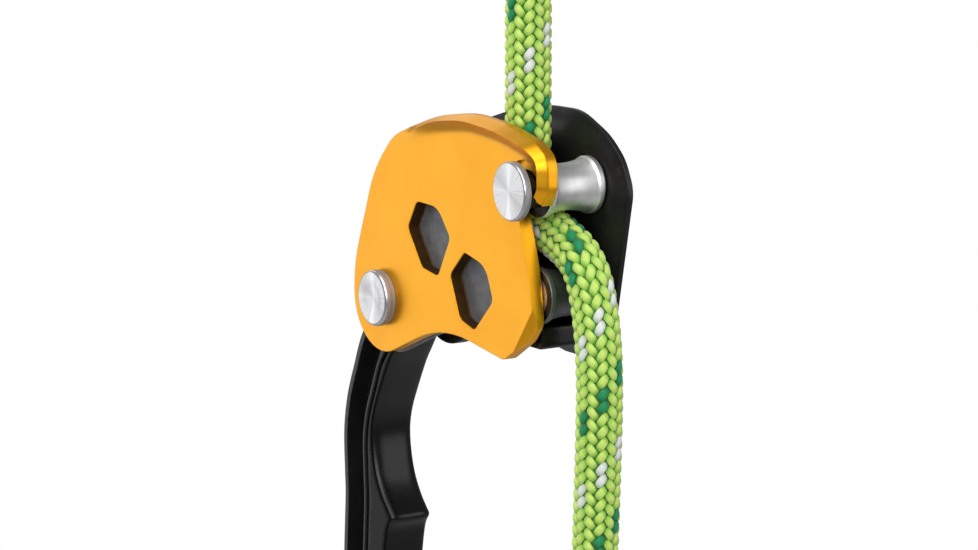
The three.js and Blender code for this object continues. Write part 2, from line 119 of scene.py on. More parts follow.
# ---- camera -----------------------------------------------------------------------
AZIMUTH = math.radians(57.3)
ELEVATION = math.radians(10.0)
DISTANCE = 0.817                   # from the upper bollard, along the view
LENS = 115.6
ASIDE = (0.0193, 0.0230)           # the bollard's place right of and above the frame's middle


def linked(name, data):
    obj = bpy.data.objects.new(name, data)
    bpy.context.scene.collection.objects.link(obj)
    return obj


def make_camera():
    back = Vector((math.sin(AZIMUTH) * math.cos(ELEVATION),
                   -math.cos(AZIMUTH) * math.cos(ELEVATION),
                   math.sin(ELEVATION)))
    right = Vector((math.cos(AZIMUTH), math.sin(AZIMUTH), 0))
    up = back.cross(right)
    camera = linked("camera", bpy.data.cameras.new("camera"))
    camera.data.lens = LENS
    camera.data.sensor_width = 36
    camera.data.clip_start = 0.01
    camera.data.clip_end = 20
    place = back * DISTANCE - right * ASIDE[0] - up * ASIDE[1]
    turn = Matrix((right, up, back)).transposed().to_4x4()
    camera.matrix_world = Matrix.Translation(place) @ turn
    bpy.context.scene.camera = camera


# ---- curves -------------------------------------------------------------------------
def catmull(points, step=0.4):
    """Centripetal Catmull-Rom through the points, resampled at about one step."""
    p = np.array(points, float)
    p = np.vstack([2 * p[0] - p[1], p, 2 * p[-1] - p[-2]])
    out = []
    for i in range(len(p) - 3):
        a, b, c, d = p[i:i + 4]
        t0 = 0.0
        t1 = t0 + np.linalg.norm(b - a) ** 0.5
        t2 = t1 + np.linalg.norm(c - b) ** 0.5
        t3 = t2 + np.linalg.norm(d - c) ** 0.5
        t = np.linspace(t1, t2, 24, endpoint=False)[:, None]
        ab = (t1 - t) / (t1 - t0) * a + (t - t0) / (t1 - t0) * b
        bc = (t2 - t) / (t2 - t1) * b + (t - t1) / (t2 - t1) * c
        cd = (t3 - t) / (t3 - t2) * c + (t - t2) / (t3 - t2) * d
        abc = (t2 - t) / (t2 - t0) * ab + (t - t0) / (t2 - t0) * bc
        bcd = (t3 - t) / (t3 - t1) * bc + (t - t1) / (t3 - t1) * cd
        out.append((t2 - t) / (t2 - t1) * abc + (t - t1) / (t2 - t1) * bcd)
    out.append(p[-2][None, :])
    return resample(np.vstack(out), step)


def lengths(points):
    return np.concatenate([[0], np.cumsum(np.linalg.norm(np.diff(points, axis=0), axis=1))])


def resample(points, step):
    s = lengths(points)
    t = np.linspace(0, s[-1], max(2, int(round(s[-1] / step)) + 1))
    return np.stack([np.interp(t, s, points[:, k]) for k in range(points.shape[1])], 1)


def arc(at, radius, start, end, steps):
    """Corners without a fillet along an arc, for rounded()."""
    return [(at[0] + radius * math.cos(t), at[1] + radius * math.sin(t), 0)
            for t in np.linspace(start, end, steps)]


def rounded(corners, closed=True, turn=math.radians(5)):
    """Polyline from corners (x, z, fillet radius); every fillet is a true arc."""
    out = []
    n = len(corners)
    for i, (x, z, radius) in enumerate(corners):
        at = np.array([x, z], float)
        if radius == 0 or (not closed and i in (0, n - 1)):
            out.append(at)
            continue
        into = np.array(corners[i - 1][:2]) - at
        away = np.array(corners[(i + 1) % n][:2]) - at
        a, b = np.linalg.norm(into), np.linalg.norm(away)
        half = math.acos(np.clip(into @ away / a / b, -1, 1)) / 2
        reach = min(radius / math.tan(half), 0.76 * a, 0.76 * b)
        r = reach * math.tan(half)
        start = at + into / a * reach
        bisector = into / a + away / b
        mid = at + bisector / np.linalg.norm(bisector) * r / math.sin(half)
        sweep = math.pi - 2 * half
        side = -np.sign(into[0] * away[1] - into[1] * away[0])
        steps = max(2, int(sweep / turn) + 1)
        first = math.atan2(*(start - mid)[::-1])
        for k in range(steps + 1):
            t = first + side * sweep * k / steps
            out.append(mid + r * np.array([math.cos(t), math.sin(t)]))
    return np.array(out)


def circle(at, radius, steps=48):
    """Loop of points round a circle."""
    return rounded(arc(at, radius, 0, 2 * math.pi, steps + 1)[:-1])


def ring_line(at, radius, steps):
    """Circle as a polyline that ends where it starts."""
    a = np.linspace(0, 2 * math.pi, steps + 1)
    return at + radius * np.stack([np.cos(a), np.sin(a)], 1)


def densify(loop):
    out = []
    for a, b in zip(loop, np.roll(loop, -1, axis=0)):
        pieces = max(1, int(np.ceil(np.linalg.norm(b - a) / OUTLINE_STEP)))
        for k in range(pieces):
            out.append(a + (b - a) * k / pieces)
    out = np.array(out)
    keep = np.linalg.norm(out - np.roll(out, 1, axis=0), axis=1) > 1e-3
    return out[keep]


def distance(points, loop):
    """Distance of each point from a closed polyline."""
    best = np.full(len(points), 1e9)
    for a, b in zip(loop, np.roll(loop, -1, axis=0)):
        ab = b - a
        t = np.clip(((points - a) @ ab) / max(ab @ ab, 1e-12), 0, 1)
        best = np.minimum(best, np.linalg.norm(points - a - t[:, None] * ab, axis=1))
    return best


def inside(points, loop):
    x, z = points[:, 0], points[:, 1]
    hit = np.zeros(len(points), bool)
    for (x0, z0), (x1, z1) in zip(loop, np.roll(loop, -1, axis=0)):
        if z0 == z1:
            continue
        hit ^= ((z0 > z) != (z1 > z)) & (x < (x1 - x0) * (z - z0) / (z1 - z0) + x0)
    return hit


def inset(loop, depth):
    """Loop moved towards the left of its own direction by a depth, or one depth per point."""
    before = loop - np.roll(loop, 1, axis=0)
    after = np.roll(loop, -1, axis=0) - loop
    before /= np.linalg.norm(before, axis=1)[:, None]
    after /= np.linalg.norm(after, axis=1)[:, None]
    along = before + after
    along /= np.linalg.norm(along, axis=1)[:, None]
    normal = np.stack([-along[:, 1], along[:, 0]], 1)
    return loop + normal * np.broadcast_to(np.atleast_1d(depth), (len(loop),))[:, None]


def counter_clockwise(loop):
    x, z = loop[:, 0], loop[:, 1]
    area = np.sum(x * np.roll(z, -1) - np.roll(x, -1) * z)
    return loop if area > 0 else loop[::-1]


def smooth(a, b, x):
    t = np.clip((x - a) / (b - a), 0, 1)
    return t * t * (3 - 2 * t)


# ---- building objects ---------------------------------------------------------------
SEGMENTS = 128                     # round a turned piece
WELD = 1e-7                        # metres


def tube(base, rings, count):
    """Faces between rings of count points each; the first point has the index base."""
    return [(base + i * count + k, base + i * count + (k + 1) % count,
             base + (i + 1) * count + (k + 1) % count, base + (i + 1) * count + k)
            for i in range(rings - 1) for k in range(count)]


def caps(base, rings, count):
    return [tuple(base + end * count + k for k in range(count)) for end in (0, rings - 1)]


def new_piece(name, vertices, faces, finish, body, nodes=(), sharp=38, finish_of=None):
    """Mesh object in metres from millimetre vertices, riding on a body."""
    mesh = bpy.data.meshes.new(name)
    mesh.from_pydata((np.asarray(vertices) * MM).tolist(), [], [list(map(int, f)) for f in faces])
    for m in finish if isinstance(finish, (list, tuple)) else [finish]:
        mesh.materials.append(m)
    if finish_of is not None:
        mesh.polygons.foreach_set("material_index", finish_of)
    work = bmesh.new()
    work.from_mesh(mesh)
    bmesh.ops.remove_doubles(work, verts=work.verts, dist=WELD)
    bmesh.ops.recalc_face_normals(work, faces=work.faces)
    work.to_mesh(mesh)
    work.free()
    mesh.polygons.foreach_set("use_smooth", [True] * len(mesh.polygons))
    mesh.set_sharp_from_angle(angle=math.radians(sharp))
    obj = linked(name, mesh)
    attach(obj, body)
    if nodes:
        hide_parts(*nodes)
    return obj


def turned(name, profile, at, finish, body, nodes=(), choose=None):
    """Solid of revolution about an axis along Y; the profile is (radius, y) and starts and
    ends on the axis, or closes on itself when its first radius isn't zero. choose(radius, y)
    gives the index of the finish of each band."""
    on_axis = 1e-6
    ring_profile = profile[0][0] > on_axis
    angles = np.linspace(0, 2 * math.pi, SEGMENTS, endpoint=False)
    vertices = []
    rows = []
    for radius, y in profile:
        if radius < on_axis:
            rows.append([len(vertices)] * SEGMENTS)
            vertices.append((at[0], y, at[1]))
            continue
        rows.append(list(range(len(vertices), len(vertices) + SEGMENTS)))
        vertices += [(at[0] + radius * math.cos(a), y, at[1] + radius * math.sin(a))
                     for a in angles]
    if ring_profile:
        rows.append(rows[0])
    faces = []
    finish_of = []
    for band, (lower, upper) in enumerate(zip(rows, rows[1:])):
        middle = (np.array(profile[band]) + np.array(profile[(band + 1) % len(profile)])) / 2
        for k in range(SEGMENTS):
            n = (k + 1) % SEGMENTS
            face = list(dict.fromkeys([lower[k], lower[n], upper[n], upper[k]]))
            if len(face) > 2:
                faces.append(face)
                finish_of.append(choose(*middle) if choose else 0)
    return new_piece(name, vertices, faces, finish, body, nodes, finish_of=finish_of)


def sculpted(name, loops, front, back, finish, body, nodes=(), edge=0.5, spacing=1.4,
             lines=(), sharp=38, crown=1.0, wall_finish=None, face_finish=None):
    """Plate between two surfaces y = front(points) and y = back(points), with rounded edges.

    loops is the outer outline and then the holes; lines are extra polylines that the mesh
    follows, where a surface has a crease. crown is the rounding's depth along Y over its
    width; wall_finish(points) and face_finish(points) give the index of the finish of the
    walls and of both faces."""
    loops = [counter_clockwise(densify(loop)) for loop in loops]
    loops = [loops[0]] + [hole[::-1] for hole in loops[1:]]
    depths = edge * (1 - np.cos(np.radians([0, 22.5, 45, 67.5, 90])))
    points = []
    edges = []
    for loop in loops:
        for depth in depths:
            ring = inset(loop, depth)
            first = len(points)
            points += list(ring)
            edges += [(first + k, first + (k + 1) % len(ring)) for k in range(len(ring))]
    for line in lines:
        first = len(points)
        points += list(line)
        edges += [(first + k, first + k + 1) for k in range(len(line) - 1)]
    lo, hi = loops[0].min(0), loops[0].max(0)
    xs = np.arange(lo[0], hi[0], spacing)
    zs = np.arange(lo[1], hi[1], spacing * 0.866)
    grid = np.array([(x + (spacing / 2 if row % 2 else 0), z)
                     for row, z in enumerate(zs) for x in xs])
    keep = inside(grid, loops[0])
    for loop in loops:
        keep &= distance(grid, loop) > edge + spacing * 0.45
    for hole in loops[1:]:
        keep &= ~inside(grid, hole)
    grid = grid[keep]
    for line in lines:
        gap = np.min(np.linalg.norm(grid[:, None] - np.asarray(line)[None], axis=2), axis=1)
        grid = grid[gap > spacing * 0.4]
    points += list(grid)
    found = delaunay_2d_cdt([Vector(p) for p in points], edges, [], 0, 1e-5)
    flat = np.array([tuple(v) for v in found[0]])
    triangles = np.array(found[2])
    middle = flat[triangles].mean(1)
    keep = inside(middle, loops[0])
    for hole in loops[1:]:
        keep &= ~inside(middle, hole)
    triangles = triangles[keep]
    used = np.unique(triangles)
    index = -np.ones(len(flat), int)
    index[used] = np.arange(len(used))
    flat = flat[used]
    triangles = index[triangles]
    away = np.clip(np.min([distance(flat, loop) for loop in loops], axis=0), 0, edge)
    fall = crown * (edge - np.sqrt(np.maximum(edge ** 2 - (edge - away) ** 2, 0)))
    y_front = front(flat) + fall
    y_back = back(flat) - fall
    n = len(flat)
    vertices = np.vstack([np.stack([flat[:, 0], y_front, flat[:, 1]], 1),
                          np.stack([flat[:, 0], y_back, flat[:, 1]], 1)])
    faces = [tuple(t) for t in triangles] + [(t[0] + n, t[2] + n, t[1] + n) for t in triangles]
    count = {}
    for a, b, c in triangles:
        for edge_pair in ((a, b), (b, c), (c, a)):
            count[edge_pair] = count.get(edge_pair, 0) + 1
    walls = [(a, b) for a, b in count if (b, a) not in count]
    faces += [(b, a, a + n, b + n) for a, b in walls]
    faced = list(face_finish(flat[triangles].mean(1))) if face_finish else [0] * len(triangles)
    finish_of = faced + faced
    finish_of += list(wall_finish(flat[walls].mean(1))) if wall_finish else [0] * len(walls)
    return new_piece(name, vertices, faces, finish, body, nodes, sharp, finish_of)


def flat(y):
    return lambda points: np.full(len(points), float(y))


# ---- materials ------------------------------------------------------------------------
class Nodes:
    """Short way to write a material's node tree."""

    def __init__(self, name):
        self.material = bpy.data.materials.new(name)
        self.material.use_nodes = True
        self.tree = self.material.node_tree
        self.shader = self.tree.nodes["Principled BSDF"]

    def add(self, kind, **settings):
        """Node with its settings, and with its sockets' values where no setting has the name."""
        node = self.tree.nodes.new(kind)
        for key, value in settings.items():
            if hasattr(node, key):
                setattr(node, key, value)
            else:
                node.inputs[key.replace("_", " ")].default_value = value
        return node

    def join(self, output, target):
        self.tree.links.new(output, target)

    def mapped(self, where, **settings):
        mapping = self.add("ShaderNodeMapping", **settings)
        self.join(where, mapping.inputs["Vector"])
        return mapping.outputs["Vector"]

    def noise(self, scale, detail=3.0, roughness=0.5, stretch=(1, 1, 1)):
        where = self.add("ShaderNodeTexCoord").outputs["Object"]
        node = self.add("ShaderNodeTexNoise", Scale=scale, Detail=detail, Roughness=roughness)
        self.join(self.mapped(where, Scale=stretch), node.inputs["Vector"])
        return node.outputs["Fac"]

    def ramp(self, source, stops):
        node = self.add("ShaderNodeValToRGB")
        ramp = node.color_ramp
        while len(ramp.elements) < len(stops):
            ramp.elements.new(0.5)
        for element, (position, colour) in zip(ramp.elements, stops):
            element.position = position
            element.color = (*colour, 1)
        self.join(source, node.inputs["Fac"])
        return node.outputs["Color"]

    def colour(self, source, dark, light, start=0.3):
        """Base colour that goes from dark to light as the source goes from start to 0.7."""
        shades = self.ramp(source, [(start, linear(*dark)), (0.7, linear(*light))])
        self.join(shades, self.shader.inputs["Base Color"])

    def rough(self, source, start, end):
        """Roughness that goes from start to end as the source goes from 0 to 1."""
        node = self.add("ShaderNodeMapRange", To_Min=start, To_Max=end)
        self.join(source, node.inputs["Value"])
        self.join(node.outputs["Result"], self.shader.inputs["Roughness"])

    def product(self, a, b):
        """Product of two colours."""
        node = self.add("ShaderNodeMix", data_type="RGBA", blend_type="MULTIPLY", Factor=1.0)
        self.join(a, node.inputs["A"])
        self.join(b, node.inputs["B"])
        return node.outputs["Result"]

    def bump(self, source, strength, depth, before=None):
        node = self.add("ShaderNodeBump", Strength=strength, Distance=depth)
        self.join(source, node.inputs["Height"])
        if before is not None:
            self.join(before, node.inputs["Normal"])
        return node.outputs["Normal"]

    def normal(self, output):
        self.join(output, self.shader.inputs["Normal"])

    def set(self, **values):
        for key, value in values.items():
            self.shader.inputs[key.replace("_", " ")].default_value = value


def linear(r, g, b):
    """Linear colour from 0-255 sRGB values."""
    def one(c):
        c /= 255
        return c / 12.92 if c <= 0.04045 else ((c + 0.055) / 1.055) ** 2.4
    return (one(r), one(g), one(b))


def gold_anodised():
    m = Nodes("gold_anodised")
    m.set(Metallic=0.88)
    m.colour(m.noise(55, 4), (247, 170, 24), (252, 180, 32))
    m.rough(m.noise(900, 2), 0.31, 0.4)
    m.normal(m.bump(m.noise(5200, 2), 0.12, 0.00004, m.bump(m.noise(300, 2), 0.05, 0.0002)))
    return m.material


def shaded_gold():
    """Walls of the windows, gold darkened with painted shade."""
    m = Nodes("gold_window_wall_painted_shade")
    m.set(Metallic=0.7, Roughness=0.5)
    m.colour(m.noise(300, 3), (70, 46, 14), (92, 62, 20))
    return m.material


def black_forged():
    m = Nodes("black_forged")
    m.set(Metallic=0.0, Specular_IOR_Level=0.42)
    m.colour(m.noise(140, 4), (13, 13, 14), (20, 20, 22), start=0.35)
    m.rough(m.noise(700, 3), 0.3, 0.5)
    m.normal(m.bump(m.noise(2600, 3), 0.18, 0.00006, m.bump(m.noise(160, 2), 0.1, 0.0004)))
    return m.material


def black_polymer(name="black_polymer", gloss=0.36):
    m = Nodes(name)
    m.set(Metallic=0.0, Specular_IOR_Level=gloss)
    m.colour(m.noise(260, 4), (5, 5, 6), (9, 9, 10))
    m.rough(m.noise(1500, 3), 0.22, 0.34)
    m.normal(m.bump(m.noise(3800, 4), 0.2, 0.00006))
    return m.material


def grey_liner():
    m = Nodes("grey_liner")
    m.set(Metallic=0.3, Roughness=0.55)
    cloud = m.noise(320, 5, 0.65)
    m.colour(cloud, (102, 102, 106), (128, 128, 131))
    m.normal(m.bump(cloud, 0.35, 0.00015))
    return m.material


def turned_steel(name, tint, rough, metallic=1.0):
    """Lathe-turned steel: rings about the piece's own axis, along Y through its middle."""
    m = Nodes(name)
    m.set(Metallic=metallic)
    where = m.add("ShaderNodeTexCoord").outputs["Generated"]
    wave = m.add("ShaderNodeTexWave", wave_type="RINGS", rings_direction="Y",
                 Scale=9, Distortion=0.6, Detail=3)
    m.join(m.mapped(where, Location=(-0.5, -0.5, -0.5)), wave.inputs["Vector"])
    m.colour(m.noise(420, 3), tuple(c - 16 for c in tint), tint)
    m.rough(m.noise(1600, 3), *rough)
    m.normal(m.bump(wave.outputs["Fac"], 0.25, 0.00002))
    return m.material


def brushed_face_with_painted_highlight():
    """Radially brushed face: fine streaks from the middle outwards, under a painted bow-tie
    highlight, lighter in two opposite wedges and darker between them.
    """
    m = Nodes("brushed_face_with_painted_highlight")
    m.set(Metallic=0.9, Roughness=0.3)
    where = m.add("ShaderNodeTexCoord").outputs["Generated"]
    upright = m.mapped(where, Location=(-0.5, 0.5, 0), Rotation=(math.pi / 2, 0, 0))
    around = m.add("ShaderNodeTexGradient", gradient_type="RADIAL")
    m.join(upright, around.inputs["Vector"])
    # painted bow-tie highlight round the face: pale wedges with deep ones between them
    pale, mid, deep = (linear(c, c, c + 2) for c in (252, 226, 200))
    painted_bow_tie_highlight = m.ramp(around.outputs["Fac"], [
        (0.0, mid), (0.1, deep), (0.21, mid), (0.25, pale), (0.3, mid), (0.45, mid), (0.6, deep),
        (0.7, mid), (0.75, pale), (0.8, mid), (1.0, mid)])
    streak = m.add("ShaderNodeTexNoise", noise_dimensions="1D", Scale=1.0, Detail=1)
    turns = m.add("ShaderNodeMath", operation="MULTIPLY")
    turns.inputs[1].default_value = 70.0
    m.join(around.outputs["Fac"], turns.inputs[0])
    m.join(turns.outputs["Value"], streak.inputs["W"])
    shade = m.ramp(streak.outputs["Fac"], [(0.3, (0.8, 0.8, 0.8)), (0.7, (1, 1, 1))])
    m.join(m.product(painted_bow_tie_highlight, shade), m.shader.inputs["Base Color"])
    m.normal(m.bump(streak.outputs["Fac"], 0.1, 0.00003))
    return m.material


def bronze():
    m = Nodes("bearing_bronze")
    m.set(Metallic=0.9, Roughness=0.45)
    m.colour(m.noise(300, 4), (140, 106, 62), (168, 130, 80))
    m.normal(m.bump(m.noise(1800, 3), 0.1, 0.00005))
    return m.material


def yarn(name, ends, middle):
    """Polyester yarn: fine filaments along each stitch, with painted shade towards its ends, where
    it dives, and a painted highlight along its middle.
    """
    m = Nodes(name)
    m.set(Roughness=0.62, Sheen_Weight=0.35, Sheen_Roughness=0.4, Specular_IOR_Level=0.45)
    where = m.add("ShaderNodeUVMap").outputs["UV"]
    filament = m.add("ShaderNodeTexNoise", Scale=1.0, Detail=2)
    m.join(m.mapped(where, Scale=(26, 1.6, 1)), filament.inputs["Vector"])
    apart = m.add("ShaderNodeSeparateXYZ")
    m.join(where, apart.inputs["Vector"])
    # painted shade at both ends of the stitch, painted highlight along its middle
    along = m.ramp(apart.outputs["Y"], [(0.1, ends), (0.4, middle), (0.6, middle), (0.9, ends)])
    shade = m.ramp(filament.outputs["Fac"], [(0.3, (0.7, 0.74, 0.66)), (0.7, (1, 1, 1))])
    m.join(m.product(along, shade), m.shader.inputs["Base Color"])
    m.normal(m.bump(filament.outputs["Fac"], 0.5, 0.00012))
    return m.material


def shrink_sleeve():
    m = Nodes("shrink_sleeve")
    m.set(Roughness=0.45, Specular_IOR_Level=0.5)
    m.colour(m.noise(200, 3), (24, 25, 27), (36, 37, 40))
    m.normal(m.bump(m.noise(420, 3, stretch=(1, 1, 0.4)), 0.3, 0.0004))
    return m.material


def pale_floor():
    m = Nodes("pale_floor")
    m.set(Roughness=0.9, Specular_IOR_Level=0.1, Base_Color=(0.93, 0.93, 0.93, 1))
    return m.material


GOLD = gold_anodised()
FORGED = black_forged()
POLYMER = black_polymer()
POLYMER_FACE = black_polymer("black_polymer_side", 0.08)
LINER = grey_liner()
STEEL = turned_steel("turned_steel", (240, 240, 239), (0.4, 0.5))
DARK_STEEL = turned_steel("lower_bollard_steel", (128, 129, 132), (0.46, 0.56))
HEAD_STEEL = brushed_face_with_painted_highlight()
SHADED_STEEL = turned_steel("shaded_steel", (70, 70, 72), (0.4, 0.5))
BAND_STEEL = turned_steel("head_band_steel", (168, 168, 170), (0.4, 0.5), metallic=0.35)
SHADED_GOLD = shaded_gold()
BRONZE = bronze()
SLEEVE = shrink_sleeve()
YARNS = [
    # each yarn: colour of the stitch's ends, darkened with painted shade, then of its middle,
    # lightened with a painted highlight
    yarn("yarn_light_green", linear(84, 184, 26), linear(220, 250, 124)),
    yarn("yarn_dark_green", linear(0, 96, 52), linear(14, 156, 96)),
    yarn("yarn_white", linear(196, 208, 196), linear(250, 252, 250)),
    yarn("yarn_core", linear(44, 104, 12), linear(60, 128, 20)),
]
CORE_YARN = 3


# ---- rope ---------------------------------------------------------------------------
# The route is the CAD model's, [x, z], both ways from the joint beside the upper bollard.
UPPER_ROUTE = [
    [-16.05, -1.2], [-16.22, -0.4], [-16.5, 1.4], [-16.6, 3], [-16.6, 6], [-16.6, 10],
    [-16.6, 20], [-16.6, 34], [-16.6, 48], [-16.6, 62], [-16.6, 78],
]
LOWER_ROUTE = [
    [-15.98, -1.52], [-15.81, -2.32], [-15.0, -4.3], [-13.5, -6.5], [-11.4, -8.8], [-8.7, -10.8],
    [-5.5, -12.3], [-1.9, -13.45], [2.2, -14.9], [6.0, -16.7], [8.8, -18.7], [10.9, -21.1],
    [12.6, -24.0], [14.0, -27.8], [15.1, -32], [16.1, -37], [16.8, -43], [17.15, -50],
    [17.1, -58], [16.8, -67], [16.4, -77], [15.9, -88], [15.4, -99], [15.1, -108],
]
COLUMNS = 12
ROW = 3.25                      # rope length that one row of stitches covers
LEAN = math.radians(42)         # of a stitch from the rope's direction
STITCH_L = 5.1
STITCH_W = 2.45
STITCH_T = 1.5
STITCH_ROUND = 10                 # points round a stitch
CORE_R = 5.15
CORE_ROUND = 24
CORE_STEP = 1.2
HALF_JOINT = 0.15               # of the gap between the two ropes


def in_rope(centre_line, s0):
    """Function from (s, angle, radius) along the rope to points; s0 is s at its first point."""
    s_of = lengths(centre_line) + s0
    tangent = np.gradient(centre_line, axis=0)
    tangent /= np.linalg.norm(tangent, axis=1)[:, None]
    front = np.array([0.0, -1.0, 0.0])
    side = np.cross(tangent, front)
    side /= np.linalg.norm(side, axis=1)[:, None]

    def at(s, angle, radius):
        def along(values):
            return np.stack([np.interp(s, s_of, values[:, k]) for k in range(3)], -1)
        end = along(centre_line)
        beyond = s - np.clip(s, s_of[0], s_of[-1])
        way = along(tangent)
        sideways = along(side)
        sideways /= np.linalg.norm(sideways, axis=-1)[..., None]
        return (end + way * beyond[..., None] + radius[..., None]
                * (front * np.cos(angle)[..., None] + sideways * np.sin(angle)[..., None]))
    return at, s_of[0], s_of[-1]


def yarn_of(row, column):
    """Yarn that a stitch is made of: tracers climb one column every two rows."""
    turn = (row - column) // 2 % 6
    return 0 if column % 2 else {0: 1, 3: 2}.get(turn, 0)


def braid(name, route_up, s0, body, nodes, phase=0.0, twist=0.0):
    """Braided sheath of plump stitches over a core tube, as one mesh; phase is in rows and
    twist turns the whole braid about the rope."""
    at, s_low, s_high = in_rope(route_up, s0)
    q = np.array([-1, -0.9, -0.66, -0.33, 0, 0.33, 0.66, 0.9, 1.0])
    bands = len(q) - 1
    count = STITCH_ROUND
    ring = np.linspace(0, 2 * math.pi, count, endpoint=False)
    swell = np.array([0.2, 0.55, 0.86, 0.98, 1.0, 0.98, 0.86, 0.55, 0.2])
    dive = np.abs(q) ** 3 * 1.25
    stitch_uvs = [uv for i in range(bands) for k in range(count)
                  for uv in ((k / count, i / bands), ((k + 1) / count, i / bands),
                             ((k + 1) / count, (i + 1) / bands), (k / count, (i + 1) / bands))]
    stitch_uvs += [(0.5, 0.5)] * (2 * count)
    vertices = []
    faces = []
    finish_of = []
    uvs = []
    for column in range(COLUMNS):
        lean = LEAN if column % 2 == 0 else -LEAN
        angle = 2 * math.pi * column / COLUMNS + twist
        shift = 0.5 * (column % 2) + phase
        first = int(np.floor(s_low / ROW - shift))
        last = int(np.ceil(s_high / ROW - shift))
        for row in range(first, last + 1):
            s_mid = (row + shift) * ROW
            if not s_low <= s_mid < s_high:
                continue
            across = np.cos(ring)[None] * swell[:, None] * STITCH_W / 2
            out = np.sin(ring)[None] * swell[:, None] * STITCH_T / 2
            along = q[:, None] * STITCH_L / 2
            middle = ROPE_R - STITCH_T / 2 - dive[:, None]
            s = s_mid + along * math.cos(lean) - across * math.sin(lean)
            turn = angle + (along * math.sin(lean) + across * math.cos(lean)) / ROPE_R
            points = at(s, turn, middle + out)
            base = len(vertices)
            vertices += points.reshape(-1, 3).tolist()
            faces += tube(base, bands + 1, count) + caps(base, bands + 1, count)
            uvs += stitch_uvs
            finish_of += [yarn_of(row, column)] * (bands * count + 2)
    core_s = np.append(np.arange(s_low, s_high, CORE_STEP), s_high)
    around = np.linspace(0, 2 * math.pi, CORE_ROUND, endpoint=False)
    grid_s, grid_a = np.meshgrid(core_s, around, indexing="ij")
    core_shape = len(vertices), len(core_s), CORE_ROUND
    core = tube(*core_shape) + caps(*core_shape)
    vertices += at(grid_s, grid_a, np.full(grid_s.shape, CORE_R)).reshape(-1, 3).tolist()
    faces += core
    uvs += [(0.5, 0.5)] * sum(map(len, core))
    finish_of += [CORE_YARN] * len(core)
    mesh = bpy.data.meshes.new(name)
    mesh.from_pydata((np.array(vertices) * MM).tolist(), [], faces)
    for finish in YARNS:
        mesh.materials.append(finish)
    mesh.polygons.foreach_set("material_index", finish_of)
    layer = mesh.uv_layers.new(name="UVMap")
    layer.data.foreach_set("uv", np.array(uvs).ravel())
    mesh.polygons.foreach_set("use_smooth", [True] * len(mesh.polygons))
    work = bmesh.new()
    work.from_mesh(mesh)
    bmesh.ops.recalc_face_normals(work, faces=work.faces)
    work.to_mesh(mesh)
    work.free()
    obj = linked(name, mesh)
    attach(obj, body)
    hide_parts(*nodes)
    return obj


def route_line(route):
    return catmull([(x, 0.0, z) for x, z in route])


def upright_sleeve(node, spread):
    """Heat-shrunk sleeve: rounded ends, slightly waisted between its strands."""
    count = 64
    x = centre(node)[0]
    z0, z1 = low(node)[2], high(node)[2]
    radius = (high(node)[1] - low(node)[1]) / 2
    profile = [(z0, 0.86), (z0 + 0.4, 0.96), (z0 + 1.2, 1.0), (z0 + 5, 1.0)]
    profile += [(z0 + (z1 - z0) * t, 1.0 + 0.012 * math.sin(9 * t))
                for t in (0.25, 0.4, 0.55, 0.7, 0.85)]
    profile += [(z1 - 1.2, 1.0), (z1 - 0.4, 0.96), (z1, 0.86)]
    vertices = []
    for z, grow in profile:
        for a in np.linspace(0, 2 * math.pi, count, endpoint=False):
            push = spread if math.cos(a) >= 0 else -spread
            waist = 1 - 0.05 * (spread > 1) * math.exp(-(math.cos(a) / 0.3) ** 2)
            vertices.append((x + push * min(1, abs(math.cos(a)) * 4) + radius * grow * math.cos(a),
                             radius * grow * waist * math.sin(a), z))
    faces = tube(0, len(profile), count) + caps(0, len(profile), count)
    return new_piece(node + "_shrunk", vertices, faces, SLEEVE, "head", [node], sharp=50)


def make_rope():
    upper_line = route_line(UPPER_ROUTE)
    lower_line = route_line(LOWER_ROUTE)
    lower_length = lengths(lower_line)[-1]
    upper = braid("rope_upper_braid", upper_line, HALF_JOINT, "head", ["rope_upper"], phase=1.8)
    lower = braid("rope_lower_braid", lower_line[::-1], -HALF_JOINT - lower_length, "head",
                  ["rope_lower"], phase=0.75, twist=0.1)
    lo, hi = low("rope_top_sleeve"), high("rope_top_sleeve")
    top_sleeve = upright_sleeve("rope_top_sleeve", (hi[0] - lo[0] - (hi[1] - lo[1])) / 2)
    eye_low, eye_high = low("rope_top_eye"), high("rope_top_eye")
    middle = (eye_low[0] + eye_high[0]) / 2
    half = (eye_high[0] - eye_low[0]) / 2 - ROPE_R
    rise = eye_high[2] - eye_low[2] - ROPE_R
    leg = ROPE_R + 0.35
    left = [(-leg, 0), (-leg, 4), (-leg - 5, 16), (-half, 0.6 * rise), (-0.68 * half, 0.84 * rise)]
    right = [(-x, z) for x, z in left[::-1]]
    eye_route = [(middle + x, eye_low[2] + z) for x, z in left + [(0, rise)] + right]
    eye = braid("rope_top_eye_braid", route_line(eye_route), 0.0, "head", ["rope_top_eye"])
    end_sleeve = upright_sleeve("rope_end_sleeve", 0.01)


# ---- outlines shared by the plates --------------------------------------------------
LOBE_SIDE = PIVOT[0] - LOBE_R
ARCH_SLOPE = 0.43
LOBE_FLOOR = PIVOT[1] - LOBE_R * math.hypot(1, ARCH_SLOPE)
LOBE_CORNER = (LOBE_SIDE, LOBE_FLOOR - ARCH_SLOPE * LOBE_R, LOBE_R)
ARCH_TOP = (PIVOT[0] + 31.7, LOBE_FLOOR + ARCH_SLOPE * 31.7, 50)
SHOULDER = [(-42, 15.2, 60), (-56, 10.6, 50), (-65.5, 7, 18), (-75.8, -3.6, 34),
            (LOBE_SIDE, -31.5, 36)]
EDGE_X = PIVOT[0] + HOOK_RADIUS - SLOT_R
HOOK_TIP = HOOK_ANGLE - 0.07
CORNER = [(-9.3, -46.4, 4), (1, -39.9, 7), (EDGE_X, -35, 5)]
HOOK_SIDE = [(10.7, 0.8, 5), (10.6, 9.2, 6), (4.6, 12.9, 14), (-10, 16, 60), (-26, 17.2, 50)]


